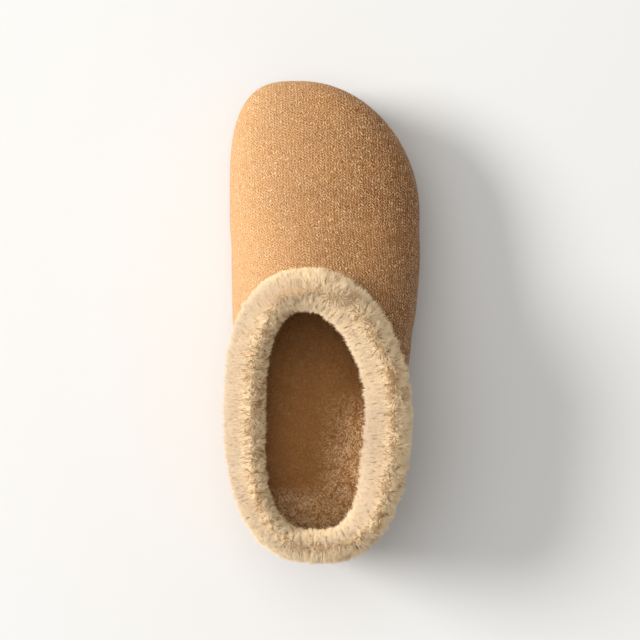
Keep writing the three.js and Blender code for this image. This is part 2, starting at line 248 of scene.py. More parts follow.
def outline_x(along, side):
    """x of the plan outline: the ridge plus the side's half width times its end rounding."""
    lateral = through(LAST, "lateral", along) * BALL_WIDTH - ridge_x(along)
    medial = -through(LAST, "medial", along) * BALL_WIDTH - ridge_x(along)
    reach = np.where(side > 0, lateral * end_round(along, 1), medial * end_round(along, -1))
    return ridge_x(along) + reach


def seat_z(along):
    """Top of the sole: ball height, plus the heel's share, plus the lift of the toe."""
    heel = (HEEL_SOLE - BALL_SOLE) * through(SOLE, "heel", along)
    return BALL_SOLE + heel + TOE_SPRING * through(SOLE, "lift", along)


def tread_z(along):
    """Underside of the sole: toe spring plus the rise of the waist."""
    return TOE_SPRING * through(SOLE, "spring", along) + WAIST_RISE * through(SOLE, "waist", along)


def full_z(along):
    return seat_z(along) + GAP + BULGE_UP


def share_across(x, along):
    """Side of a place, and its share of the way from the ridge to the outline."""
    middle = ridge_x(along)
    side = np.where(x > middle, 1, -1)
    reach = np.maximum(np.abs(outline_x(along, side) - middle), 1e-6)
    return side, np.abs(x - middle) / reach


def last_z(x, y):
    """Height of the last: its fullest level plus the crest, rounded to the ends and sides."""
    along = along_of(y)
    _, share = share_across(x, along)
    crest = through(LAST, "top", along) * INSTEP_HEIGHT - full_z(along)
    arch = round_off(share, through(LAST, "crown", along))
    return full_z(along) + crest * end_round(along, "crest") * arch


OPENING_BACK = y_of(0) + OPENING_FROM_HEEL
OPENING_FRONT = OPENING_BACK + OPENING_LENGTH
OPENING_WAIST = OPENING_BACK + OPENING_LENGTH * OPENING_WIDEST


def stations(toe_steps, heel_steps):
    """Side, end and share of stations once round, the share being the sine of an even angle."""
    toe, heel = np.arange(toe_steps) / toe_steps, np.arange(heel_steps) / heel_steps
    share = np.sin(np.concatenate([toe, 1 - toe, heel, 1 - heel]) * math.pi / 2)
    steps = [toe_steps, toe_steps, heel_steps, heel_steps]
    return np.repeat([1, -1, -1, 1], steps), np.repeat([True, True, False, False], steps), share


def outline_points(round_):
    side, toeward, share = round_
    y = OPENING_WAIST + (np.where(toeward, y_of(1), y_of(0)) - OPENING_WAIST) * share
    return np.stack([outline_x(along_of(y), side), y], 1)


def opening_points(round_, at_front, at_side, at_back):
    """The opening's outline, four superellipse quarters, let out at its front, sides and back."""
    side, toeward, share = round_
    end = np.where(toeward, OPENING_FRONT + at_front, OPENING_BACK - at_back)
    end_share = np.where(toeward, OPENING_ENDS["toe"], OPENING_ENDS["heel"])
    end_x = OPENING_MIDDLE + OPENING_WIDTH * end_share
    side_x = OPENING_MIDDLE + side * (OPENING_WIDTH / 2 + at_side)
    toe, heel = (np.where(side > 0, *OPENING_FULL[name]) for name in ("toe", "heel"))
    full = np.where(toeward, toe, heel)
    x = end_x + (side_x - end_x) * round_off(share, full)
    return np.stack([x, OPENING_WAIST + (end - OPENING_WAIST) * share], 1)


def inset(points, distance):
    """A closed plan outline moved inwards: each point goes along its own normal."""
    way = unit(np.roll(points, -1, 0) - np.roll(points, 1, 0))
    distance = np.broadcast_to(distance, len(points))[:, None]
    return points + np.stack([-way[:, 1], way[:, 0]], 1) * distance


def crease_height(x, y):
    """Sum of soft hills and troughs: each a bell over a turned ellipse."""
    total = np.zeros_like(x)
    for along, across, long, short, degrees, high in CREASES:
        turn = math.radians(degrees)
        dx, dy = x - across * BALL_WIDTH, y - y_of(along)
        far = (dx * math.cos(turn) + dy * math.sin(turn)) / (long * BALL_WIDTH)
        wide = (dy * math.cos(turn) - dx * math.sin(turn)) / (short * SHELL_LENGTH)
        total += high * np.exp(-(far**2) - wide**2)
    return total


def waviness(x, y):
    """Slow unevenness of soft cloth: three crossing sine waves."""
    wave = np.sin(x / 17.0 + y / 31.0 + 0.7) + np.sin(x / 29.0 - y / 19.0 + 2.1)
    return 0.12 * (wave + np.sin(y / 12.0 + x / 47.0))


def upper_skin(round_, low_steps, high_steps):
    """Outer face of the upper: rings that climb from the sole to the fullest level on a parabola,
    then over the last along rays to the opening."""
    outline = outline_points(round_)
    edge = opening_points(round_, 0, 0, 0)
    rings = []
    for up in np.arange(low_steps) / low_steps:
        plan = inset(outline, TUCK * (1 - up) ** 2)
        z = seat_z(along_of(plan[:, 1])) + GAP + BULGE_UP * up
        rings.append(np.column_stack([plan, z]))
    for row in np.linspace(0, 1, high_steps):
        plan = outline + (edge - outline) * row**2
        rings.append(np.column_stack([plan, last_z(plan[:, 0], plan[:, 1])]))
    return np.array(rings)


def face_normals(skin):
    """Normals of a grid of rings: the way round crossed with the way up."""
    around = np.roll(skin, -1, 1) - np.roll(skin, 1, 1)
    climb = np.gradient(skin, axis=0)
    normal = np.cross(around, climb)
    normal[0, :, 2] = 0
    return unit(normal)


def place_shift():
    """What the solids were moved by when the shoe's middle came over the origin."""
    low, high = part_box("upper")
    outline = outline_points(stations(200, 120))
    x = (low[0] + high[0]) / 2 / MM - (outline[:, 0].min() + outline[:, 0].max()) / 2
    y = (low[1] + high[1]) / 2 / MM
    return np.array([x, y, 0.0])


SHIFT = place_shift()


# Meshes

def new_piece(name, points, faces, material, nodes=(), uv=None, marks=None, normals=None):
    """One object from arrays: points in millimetres of the last's frame, faces of one size."""
    faces = np.ascontiguousarray(faces, dtype=np.int32)
    mesh = bpy.data.meshes.new(name)
    mesh.vertices.add(len(points))
    mesh.vertices.foreach_set("co", ((points + SHIFT) * MM).astype(np.float32).ravel())
    mesh.loops.add(faces.size)
    mesh.loops.foreach_set("vertex_index", faces.ravel())
    mesh.polygons.add(len(faces))
    mesh.polygons.foreach_set("loop_start", np.arange(len(faces), dtype=np.int32) * faces.shape[1])
    mesh.update(calc_edges=True)
    mesh.polygons.foreach_set("use_smooth", np.ones(len(faces), dtype=bool))
    if uv is not None:
        layer = mesh.uv_layers.new(name="cloth")
        layer.uv.foreach_set("vector", uv[faces.ravel()].astype(np.float32).ravel())
    for mark, values in (marks or {}).items():
        layer = mesh.attributes.new(mark, "FLOAT", "POINT")
        layer.data.foreach_set("value", values.astype(np.float32))
    if normals is not None:
        mesh.normals_split_custom_set_from_vertices(normals.tolist())
    mesh.materials.append(material)
    piece = bpy.data.objects.new(name, mesh)
    bpy.context.scene.collection.objects.link(piece)
    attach(piece, "root")
    if nodes:
        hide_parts(*nodes)
    return piece


def ring_quads(low, high, k, count):
    """Quads between the rings low and high, from station k to the next one round."""
    on = (k + 1) % count
    corners = [low * count + k, low * count + on, high * count + on, high * count + k]
    return np.stack(corners, 2).reshape(-1, 4)


def tyre_faces(rings, count):
    """Quads of a grid that closes both ways, like a tyre."""
    j, k = np.meshgrid(np.arange(rings), np.arange(count), indexing="ij")
    return ring_quads(j, (j + 1) % rings, k, count)


def quads_to_triangles(quads):
    """Two triangles for each quad, without those that have lost an edge."""
    halves = np.concatenate([quads[:, [0, 1, 2]], quads[:, [0, 2, 3]]])
    a, b, c = halves.T
    return halves[(a != b) & (b != c) & (c != a)]


def slab(rings, toe_steps, columns, below, above):
    """Stacked rings closed by two lids. A lid's rows run across from side to side, and below and
    above give the height of its inner points from x, y and the share across."""
    count = rings.shape[1]
    points = [rings.reshape(-1, 3)]
    j, k = np.meshgrid(np.arange(len(rings) - 1), np.arange(count), indexing="ij")
    faces = [ring_quads(j, j + 1, k, count)]
    total = rings.shape[0] * count
    for first, height, upward in ((0, below, False), ((len(rings) - 1) * count, above, True)):
        a = np.arange(count // 2 + 1)
        right, left = (toe_steps - a) % count, (toe_steps + a) % count
        share = np.linspace(0, 1, columns + 1)[:, None]
        ring = rings[first // count]
        grid = ring[right][:, None] * (1 - share) + ring[left][:, None] * share
        inner = grid[1:-1, 1:-1].copy()
        across = np.broadcast_to(share[1:-1, 0], inner.shape[:2])
        inner[..., 2] = height(inner[..., 0], inner[..., 1], across)
        index = np.empty(grid.shape[:2], int)
        index[:, :] = (first + right)[:, None]
        index[:, -1] = first + left
        index[1:-1, 1:-1] = total + np.arange(across.size).reshape(across.shape)
        index[-1] = first + right[-1]
        total += across.size
        points.append(inner.reshape(-1, 3))
        corners = [index[:-1, :-1], index[:-1, 1:], index[1:, 1:], index[1:, :-1]]
        lid = np.stack(corners, 2).reshape(-1, 4)
        faces.append(lid if upward else lid[:, ::-1])
    return np.concatenate(points), quads_to_triangles(np.concatenate(faces))


def strand_mesh(roots, middles, tips, thick, face):
    """Closed slim blades: a root, a flat ring of three points round the middle, and a tip. The
    broad side of a blade looks along face, as far as its own way allows."""
    way = unit(tips - roots)
    across = unit(np.cross(way, face))
    up = np.cross(across, way)
    thick = thick[:, None]
    ring = (middles + across * thick, middles - up * thick * BLADE_DEPTH, middles - across * thick)
    points = np.stack([roots, *ring, tips], 1).reshape(-1, 3)
    one = np.array([[0, 2, 1], [0, 3, 2], [0, 1, 3], [4, 1, 2], [4, 2, 3], [4, 3, 1]])
    faces = one[None] + STRAND_POINTS * np.arange(len(roots))[:, None, None]
    return points, faces.reshape(-1, 3)


def nearest_clump(at, cell):
    """Cell of the nearest clump for each place, and the way from there to the clump's middle. The
    middles stand on a grid of square cells, each shaken by up to 0.42 of a cell."""
    home = np.floor(at / cell).astype(int)
    best = np.full(len(at), 1e9)
    clump, inward = home.copy(), np.zeros_like(at)
    for dx in (-1, 0, 1):
        for dy in (-1, 0, 1):
            there = home + (dx, dy)
            middle = (there + 0.5 + 0.42 * shaken(there)) * cell
            far = np.sum((at - middle) ** 2, 1)
            nearer = far < best
            clump[nearer], inward[nearer] = there[nearer], (middle - at)[nearer]
            best = np.minimum(best, far)
    return clump, inward


def shaken(cells):
    """Two steady pseudo-random numbers from -1 to 1 for each cell: fractions of large sines."""
    seed = cells[:, 0] * 12.9898 + cells[:, 1] * 78.233
    first = np.modf(np.abs(np.sin(seed)) * 43758.5453)[0]
    second = np.modf(np.abs(np.sin(seed + 4.1)) * 24634.6345)[0]
    return np.stack([first, second], 1) * 2 - 1


# Shader building

def operator(operation, reflected=False):
    """A method for Term: a Math node of the term and another value."""

    def apply(self, other=0.0):
        one, two = (other, self) if reflected else (self, other)
        return self.finish.node("ShaderNodeMath", {"operation": operation}, {0: one, 1: two})

    return apply


class Term:
    """An output socket that takes part in Python sums and products of numbers."""

    def __init__(self, finish, socket):
        self.finish = finish
        self.socket = socket

    __add__, __radd__ = operator("ADD"), operator("ADD", True)
    __sub__, __rsub__ = operator("SUBTRACT"), operator("SUBTRACT", True)
    __mul__, __rmul__ = operator("MULTIPLY"), operator("MULTIPLY", True)
    __truediv__, __rtruediv__ = operator("DIVIDE"), operator("DIVIDE", True)
    __abs__ = operator("ABSOLUTE")


class Finish:
    """One material and its nodes; shader holds fixed values, with _ for a space in a name."""

    def __init__(self, name, **shader):
        self.material = bpy.data.materials.new(name)
        self.material.use_nodes = True
        self.tree = self.material.node_tree
        self.shader = self.tree.nodes["Principled BSDF"]
        for socket, value in shader.items():
            self.set(socket.replace("_", " "), value)

    def node(self, kind, settings=None, inputs=None, output=0):
        """A node of a type, with its settings and the values or links of its sockets."""
        made = self.tree.nodes.new(kind)
        for name, value in (settings or {}).items():
            setattr(made, name, value)
        for name, value in (inputs or {}).items():
            self._feed(made.inputs[name], value)
        return Term(self, made.outputs[output])

    def _feed(self, socket, value):
        if isinstance(value, Term):
            self.tree.links.new(value.socket, socket)
        elif socket.type == "RGBA" and len(value) == 3:
            socket.default_value = (*value, 1.0)
        else:
            socket.default_value = value

    def set(self, socket, value):
        self._feed(self.shader.inputs[socket], value)

    def mix(self, factor, one, other):
        return self.node("ShaderNodeMix", {"data_type": "RGBA"}, {0: factor, 6: one, 7: other}, 2)

    def noise(self, vector, scale, detail=3.0, roughness=0.55):
        inputs = {"Vector": vector, "Scale": scale, "Detail": detail, "Roughness": roughness}
        return self.node("ShaderNodeTexNoise", {}, inputs)

    def place(self):
        return self.node("ShaderNodeTexCoord", {}, {}, "Object")

    def mark(self, name):
        return self.node("ShaderNodeAttribute", {"attribute_name": name}, {}, "Fac")

    def part(self, vector, axis):
        return self.node("ShaderNodeSeparateXYZ", {}, {0: vector}, axis)

    def of(self, operation, term):
        return self.node("ShaderNodeMath", {"operation": operation}, {0: term})

    def wave(self, term):
        """Sine of a term, from 0 to 1."""
        return self.of("SINE", term) * 0.5 + 0.5

    def cell(self, one, other):
        """A steady random number from 0 to 1 for each square of two terms."""
        corner = {0: self.of("FLOOR", one), 1: self.of("FLOOR", other)}
        square = self.node("ShaderNodeCombineXYZ", {}, corner)
        return self.node("ShaderNodeTexWhiteNoise", {"noise_dimensions": "2D"}, {"Vector": square})

    def bump(self, height, distance):
        inputs = {"Height": height, "Distance": distance, "Strength": 1.0}
        return self.node("ShaderNodeBump", {}, inputs)


def knit_finish(props):
    """Fine knit: columns of slanting stitches that meet in a V, on lengths over the cloth. The
    gaps between the stitches carry painted shade, deeper towards the shoe's outer side, away from
    the light, and the inner side, where the light falls, is painted lighter."""
    finish = Finish("knit", Roughness=0.75, Sheen_Weight=0.17, Sheen_Roughness=0.4,
                    Sheen_Tint=(1.0, 0.86, 0.66), Specular_IOR_Level=0.25)
    cloth = finish.node("ShaderNodeUVMap", {"uv_map": "cloth"})
    across, along = finish.part(cloth, "X"), finish.part(cloth, "Y")
    drift = finish.noise(cloth, 0.22, 2.0)
    wander = finish.noise(cloth, 0.16, 2.0)
    shake = finish.noise(cloth, 0.75, 2.0)
    uneven = finish.noise(cloth, 0.9, 2.0, 0.7)
    column = (across + drift * 3.0 + shake * 1.6) / (props.stitch_width / MM)
    leg = abs(finish.of("FRACT", column) * 2 - 1)
    rows = (along + wander * 4.0 - shake * 2.6) / (props.stitch_height / MM) + leg * KNIT_SLANT
    yarn = finish.wave(rows * (2 * math.pi))
    round_leg = finish.wave(leg * (2 * math.pi) - math.pi / 2)
    own = finish.cell(column * 2, rows + 0.25)
    stitch = yarn * (round_leg * 0.7 + 0.3) * (uneven * 0.8 + own * 0.7 + 0.15)
    fuzz = finish.noise(cloth, 2.1, 2.0, 0.8)
    slow = finish.noise(finish.place(), 28.0, 3.0, 0.5)
    # Painted shade towards the outer side, away from the light, and painted light towards the inner
    # side
    outer = finish.part(finish.place(), "X") * 18.0 + 0.1
    face = stitch * 3.0 + (fuzz - 0.5) * 3.0 - outer * 0.7
    # Painted shade: the gap colour fills the recesses between the stitches
    gaps = finish.mix(face, props.knit_gap_shade, props.knit_colour)
    tinted = finish.mix((slow - 0.35) * 0.5, gaps, props.knit_warm)
    # The light fibres follow the stitches, with painted light towards the inner side
    light = (stitch - 0.45) * 1.4 - outer * 0.18
    finish.set("Base Color", finish.mix(light, tinted, props.knit_light))
    finish.set("Normal", finish.bump(stitch + fuzz * 0.5, 0.25 * MM))
    return finish.material


def fur_finish(name, root, body, tip, tan, painted_light_colour):
    """Fur: each strand goes from its root colour to its tip colour and has a tint of its own.
    Strands marked with painted light end in the painted light colour, a lighter copy of the fur
    that stands in for light where the lamps leave it in shade. Where the fur opens in tufts the tan
    shows, partly tan underfur and partly painted shade."""
    finish = Finish(name, Roughness=0.8, Sheen_Weight=0.1, Sheen_Roughness=0.5,
                    Sheen_Tint=(1.0, 0.9, 0.75), Specular_IOR_Level=0.15)
    along, tint, tuft, painted_light = (finish.mark(mark) for mark in ("along", "tint", "tuft", "painted_light"))
    low = finish.mix(along * 1.6 + painted_light * 0.35, root, finish.mix(painted_light, body, painted_light_colour))
    high = finish.mix((along - 0.45) * 1.8, low, finish.mix(painted_light, tip, painted_light_colour))
    patch = finish.noise(finish.place(), 120.0, 3.0, 0.6)
    # Random tint and patches of tan underfur, plus painted shade that grows with the tuft mark, on
    # the side away from the light, and towards the roots
    tan_and_shade = (tint - 0.45 + (patch - 0.47) * 3.2) * (0.25 + tuft) + (0.55 - along) * tuft
    finish.set("Base Color", finish.mix(tan_and_shade * 0.85 - 0.06, high, tan))
    return finish.material


def pile_base_finish(name, dark, light):
    """The ground under the strands: short curled pile as a bumpy two-tone field."""
    finish = Finish(name, Roughness=0.95, Sheen_Weight=0.2, Specular_IOR_Level=0.1)
    place = finish.place()
    curls = finish.noise(place, 620.0, 4.0, 0.7)
    patch = finish.noise(place, 110.0, 3.0, 0.6)
    tone = curls * 0.7 + patch * 0.5 - 0.1
    finish.set("Base Color", finish.mix(tone, dark, light))
    finish.set("Normal", finish.bump(curls, 1.4 * MM))
    return finish.material


def sole_finish(props):
    """Matt moulded rubber: fine grain, faint mottling and scuffed lighter patches."""
    finish = Finish("moulded_sole", Specular_IOR_Level=0.35)
    place = finish.place()
    grain = finish.noise(place, 1500.0, 2.0, 0.6)
    mottle = finish.noise(place, 60.0, 4.0, 0.6)
    scuff = finish.noise(place, 210.0, 5.0, 0.75)
    base = finish.mix((mottle - 0.35) * 0.8, props.sole_colour, props.sole_shade)
    finish.set("Base Color", finish.mix((scuff - 0.58) * 1.6, base, props.sole_scuff))
    finish.set("Roughness", 0.55 + 0.22 * mottle)
    finish.set("Normal", finish.bump(grain + scuff * 0.4, 0.12 * MM))
    return finish.material


# Sizes and colours a user would change

def size(name, text, value, least):
    """A length, given in millimetres and kept in metres."""
    return bpy.props.FloatProperty(
        name=name, description=text, unit="LENGTH", precision=5, default=value * MM, min=least * MM)


def number(name, text, value):
    return bpy.props.IntProperty(name=name, description=text, default=value, min=100)


def colour(name, text, value):
    return bpy.props.FloatVectorProperty(
        name=name, description=text, subtype="COLOR", size=4, min=0.0, max=1.0,
        default=(*value, 1.0))


class SlipperProperties(bpy.types.PropertyGroup):
    """Sizes and colours of the slipper."""

    stitch_width: size("Stitch width", "Width of one column of stitches", 3.2, 0.5)
    stitch_height: size("Stitch height", "Height of one row of stitches", 1.6, 0.3)
    fur_length: size("Fur length", "Length of the collar's strands", 4.8, 1.0)
    fur_thickness: size("Fur thickness", "Half thickness of a strand", 0.11, 0.03)
    fur_strands: number("Fur strands", "Strands in each third of the collar", 28000)
    pile_length: size("Pile length", "Length of the lining's pile", 4.2, 0.5)
    lining_strands: number("Lining strands", "Strands of the lining", 18000)
    footbed_strands: number("Footbed strands", "Strands of the footbed's pile", 25000)
    knit_colour: colour("Knit", "Face of the stitches", (0.61, 0.335, 0.145))
    # Knit gap shade is painted shade for the recesses between the stitches
    knit_gap_shade: colour("Knit gaps", "Between the stitches", (0.16, 0.055, 0.012))
    knit_warm: colour("Knit warm", "Warmer patches of the knit", (0.72, 0.33, 0.10))
    knit_light: colour("Knit light", "Light fibres on the knit", (0.80, 0.58, 0.36))
    fur_root: colour("Fur root", "Root of the fur", (0.60, 0.37, 0.18))
    fur_body: colour("Fur body", "Middle of the strands", (0.61, 0.465, 0.32))
    fur_tip: colour("Fur tip", "Tips of the fur", (0.60, 0.465, 0.325))
    # Painted light: a lighter copy of the fur's body and tip above, for the side away from the
    # light, the front and the heel
    fur_painted_light: colour("Fur tufts", "Tips where the fur opens in tufts", (1.0, 0.77, 0.485))
    fur_tan: colour("Fur tan", "Tan tufts of the fur", (0.46, 0.22, 0.065))
    pile_root: colour("Pile root", "Root of the lining's pile", (0.26, 0.10, 0.028))
    pile_body: colour("Pile body", "Middle of the lining's pile", (0.56, 0.26, 0.085))
    # Painted light: the wall's pile is a much lighter copy of the footbed's pile, for the lit wall
    # inside
    lit_lining_body: colour("Lining body", "Middle of the wall's pile", (0.97, 0.63, 0.33))
    lit_lining_tip: colour("Lining tip", "Tips of the wall's pile", (1.0, 0.76, 0.47))
    pile_tip: colour("Pile tip", "Tips of the lining's pile", (0.68, 0.35, 0.13))
    sole_colour: colour("Sole", "Moulded sole", (0.36, 0.205, 0.10))
    sole_shade: colour("Sole shade", "Darker mottling of the sole", (0.31, 0.17, 0.08))
    sole_scuff: colour("Sole scuff", "Scuffs on the sole", (0.46, 0.31, 0.185))


# Pieces

class SLIPPER_OT_sole(bpy.types.Operator):
    """Moulded sole with grooved sides and tread"""

    bl_idname = "slipper.sole"
    bl_label = "Moulded sole"

    def execute(self, context):
        toe_steps, heel_steps, columns = 230, 120, 26
        outline = inset(outline_points(stations(toe_steps, heel_steps)), TUCK - LEDGE)
        rings = []
        for up, edge, groove in zip(SOLE_SIDE["up"], SOLE_SIDE["edge"], SOLE_SIDE["groove"]):
            plan = inset(outline, SOLE_EDGE * edge + SIDE_GROOVE * groove)
            along = along_of(plan[:, 1])
            z = tread_z(along) + (seat_z(along) - tread_z(along)) * up
            rings.append(np.column_stack([plan, z]))
        points, faces = slab(np.array(rings), toe_steps, columns, tread_height, seat_height)
        material = sole_finish(context.scene.slipper)
        new_piece("moulded_sole", points, faces, material, ["sole"])
        return {"FINISHED"}


def seat_height(x, y, share):
    return seat_z(along_of(y))


def tread_height(x, y, share):
    """The tread's level, raised inside each groove by a soft-edged box across the sole."""
    along = along_of(y)
    depth = np.zeros_like(y)
    for start, end in TREAD_FIELDS:
        room = (end - start) * SHELL_LENGTH
        for number in range(int(room // TREAD_PITCH)):
            middle = y_of(start) + (number + 0.5) * TREAD_PITCH
            near = np.clip((TREAD_WIDTH / 2 + 0.35 - np.abs(y - middle)) / 0.7, 0, 1)
            right = outline_x(along_of(middle), 1) - TREAD_MARGIN - x
            left = x - outline_x(along_of(middle), -1) - TREAD_MARGIN
            depth = np.maximum(depth, near * np.clip(np.minimum(left, right) / 1.5 + 0.5, 0, 1))
    return tread_z(along) + TREAD_DEPTH * depth


def footbed_underside(x, y, share):
    return seat_z(along_of(y)) + GAP


def footbed_height(x, y, share):
    """Level of the footbed, its rim turned up by the fourth power of the share across."""
    return seat_z(along_of(y)) + GAP + FOOTBED + FOOTBED_CUP * np.abs(2 * share - 1) ** 4


class SLIPPER_OT_footbed(bpy.types.Operator):
    """Contoured footbed with its short pile"""

    bl_idname = "slipper.footbed"
    bl_label = "Footbed"

    def execute(self, context):
        props = context.scene.slipper
        toe_steps, heel_steps, columns = 90, 60, 30
        outline = outline_points(stations(toe_steps, heel_steps))
        rim = FOOTBED + FOOTBED_CUP
        rings = []
        for up in np.linspace(0, 1, 5):
            plan = inset(outline, TUCK * (1 - up * rim / BULGE_UP) ** 2 + WALL + FOOTBED_ROOM)
            rings.append(np.column_stack([plan, seat_z(along_of(plan[:, 1])) + GAP + rim * up]))
        rings = np.array(rings)
        points, faces = slab(rings, toe_steps, columns, footbed_underside, footbed_height)
        ground = pile_base_finish("footbed_ground", props.pile_root, props.pile_body)
        new_piece("footbed", points, faces, ground, ["insole"])
        self.pile(props, rings[-1], toe_steps)
        return {"FINISHED"}

    def pile(self, props, ring, toe_steps):
        """Strands over the footbed, as far as the opening shows them. They lie in slow swirls, and
        are painted lighter at the heel's outer side and along its end: painted light where the
        light falls."""
        rng = np.random.default_rng(11)
        number = props.footbed_strands
        y = rng.uniform(y_of(0.03), OPENING_FRONT + 38.0, number)
        share = rng.uniform(0.02, 0.98, number)
        half = len(ring) // 2
        a = np.arange(half + 1)
        right, left = ring[(toe_steps - a) % len(ring)], ring[(toe_steps + a) % len(ring)]
        x_right = np.interp(y, right[::-1, 1], right[::-1, 0])
        x_left = np.interp(y, left[::-1, 1], left[::-1, 0])
        x = x_right + (x_left - x_right) * share
        root = np.column_stack([x, y, footbed_height(x, y, share) - 0.4])
        normal = np.column_stack([0.35 * (2 * share - 1) ** 3, np.zeros(number), np.ones(number)])
        comb = rng.normal(0, 0.35, (number, 3)) * (1, 1, 0) + (0, -0.15, 0)
        clump, inward = nearest_clump(np.column_stack([x, y]), FOOTBED_CLUMP)
        comb[:, :2] += 0.07 * inward
        swirl = np.sin(x / 9.0 + y / 14.0 + 1.0) + np.sin(x / 13.0 - y / 8.0)
        lie = np.column_stack([np.sin(2 * swirl), np.cos(2 * swirl) - 0.4, np.zeros(number)])
        comb += lie * 0.16
        # Painted light: the pile is paler at the heel's outer side and along its end
        lateral = np.clip((x + 4.0) / 20.0, 0, 1) * np.clip((y_of(0.36) - y) / 40.0, 0, 1)
        painted_heel_light = np.clip(lateral + np.clip((y_of(0.15) - y) / 15.0, 0, 1), 0, 1)
        marks = {"tuft": 0.4 - 0.25 * painted_heel_light, "painted_light": 1.9 * painted_heel_light, "painted_shade_patches": 0.0}
        pile = fur_finish(
            "footbed_pile", props.pile_root, props.pile_body, props.pile_tip, props.pile_root,
            props.lit_lining_body)
        length = props.pile_length / MM * 0.85
        strands("footbed_pile", root, normal, comb, clump, length, 0.5, 0.2, marks, rng, pile)


def strands(name, root, normal, comb, clump, length, wild, upwards, marks, rng, material):
    """One joined mesh of strands, their length in millimetres. A strand starts along the normal and
    ends along normal and comb, with a lean and a length that its clump shares and a little of its
    own. Deep fur passes light from strand to strand, so the shading normals are those of the pile,
    bent upwards and rounded a little. What is added to a clump sets its random numbers apart."""
    number = len(root)
    normal = unit(normal)
    side = unit(np.cross(normal, np.array([0.37, 0.86, 0.35])))
    lean = shaken(clump + 17)
    shared = side * lean[:, :1] + np.cross(normal, side) * lean[:, 1:]
    own = rng.normal(0, 0.4 * wild, root.shape)
    way = unit(STIFF_TIP * normal + comb + wild * shared + own)
    size = length * rng.uniform(*OWN_LENGTH, (number, 1))
    size = size * (1 + CLUMP_LENGTH * shaken(clump + 5)[:, :1])
    middle = root + unit(STIFF_ROOT * normal + way) * size * 0.5
    thick = bpy.context.scene.slipper.fur_thickness / MM * rng.uniform(*OWN_THICKNESS, number)
    face = unit(normal + upwards * UP)
    points, faces = strand_mesh(root, middle, middle + way * size * 0.5, thick, face)
    clumped = shaken(clump + 31)[:, 0] * 0.5 + 0.5
    # Painted shade patches add to the tint, which mixes the strand towards tan
    tint = (1 - CLUMP_TINT) * rng.uniform(0, 1, number) + CLUMP_TINT * clumped + marks["painted_shade_patches"]
    every = {}
    for mark, value in {"tint": tint, "tuft": marks["tuft"], "painted_light": marks["painted_light"]}.items():
        every[mark] = np.repeat(np.broadcast_to(value, number), STRAND_POINTS)
    every["along"] = np.tile([0.0, 0.5, 0.5, 0.5, 1.0], number)
    soft = np.repeat(face, STRAND_POINTS, 0)
    soft += 0.3 * unit(points - np.repeat((root + middle) / 2, STRAND_POINTS, 0))
    return new_piece(name, points, faces, material, marks=every, normals=unit(soft))


def section_lengths():
    """Lengths over the last: across, from the ridge along each section, and along, over the crest.
    The sections stand at the cosines of even angles, closer together towards heel and toe, and
    their points closer together towards the outline."""
    along = (1 - np.cos(np.linspace(0, math.pi, SECTION_ROWS + 1))) / 2
    near = np.linspace(0, 1, SECTION_COLUMNS + 1)
    share = 1 - near[::-1] ** 2
    tables = {}
    for side in (1, -1):
        y = y_of(along)[:, None]
        middle = ridge_x(along)[:, None]
        x = middle + (outline_x(along, np.full(along.shape, side))[:, None] - middle) * share[None]
        z = last_z(x, np.broadcast_to(y, x.shape))
        step = np.hypot(np.diff(x, axis=1), np.diff(z, axis=1))
        tables[side] = np.concatenate([np.zeros((len(along), 1)), np.cumsum(step, 1)], 1)
    fine = np.linspace(0, 1, CREST_STEPS + 1)
    y = y_of(fine)
    step = np.hypot(np.diff(y), np.diff(last_z(ridge_x(fine), y)))
    return tables, fine, np.r_[0, np.cumsum(step)]


def cloth_lengths(skin, low_steps):
    """Lengths over the cloth for each point of the skin, in millimetres: across and along. Below
    the fullest level the cloth goes on straight down from the outline."""
    tables, fine, crest = section_lengths()
    x, y = skin[..., 0], skin[..., 1]
    outline = skin[low_steps]
    along = along_of(y)
    side, share = share_across(x, along)
    share = np.clip(share, 0, 1)
    row = np.arccos(np.clip(1 - 2 * along, -1, 1)) / math.pi * SECTION_ROWS
    column = (1 - np.sqrt(1 - share)) * SECTION_COLUMNS
    r = np.minimum(row.astype(int), SECTION_ROWS - 1)
    c = np.minimum(column.astype(int), SECTION_COLUMNS - 1)
    up, on = row - r, column - c
    across = np.zeros_like(x)
    for sign, table in tables.items():
        low = table[r, c] * (1 - on) + table[r, c + 1] * on
        high = table[r + 1, c] * (1 - on) + table[r + 1, c + 1] * on
        across = np.where(side == sign, sign * (low * (1 - up) + high * up), across)
    length = np.interp(along, fine, crest)
    way = unit((np.roll(outline, -1, 0) - np.roll(outline, 1, 0))[:, :2])
    down = outline[:, 2] - skin[:low_steps, :, 2]
    across[:low_steps] = across[low_steps] + way[:, 1] * down
    length[:low_steps] = length[low_steps] - way[:, 0] * down
    return np.stack([across, length], 2)


def dressed_skin():
    """The upper's outer face with its soft creases, and its normals."""
    skin = upper_skin(stations(UPPER_TOE_STEPS, UPPER_HEEL_STEPS), UPPER_LOW, UPPER_HIGH)
    normal = face_normals(skin)
    lift = crease_height(skin[..., 0], skin[..., 1]) + waviness(skin[..., 0], skin[..., 1])
    lift *= np.clip(np.arange(len(skin)) / UPPER_LOW, 0, 1)[:, None]
    return skin + normal * lift[..., None], normal


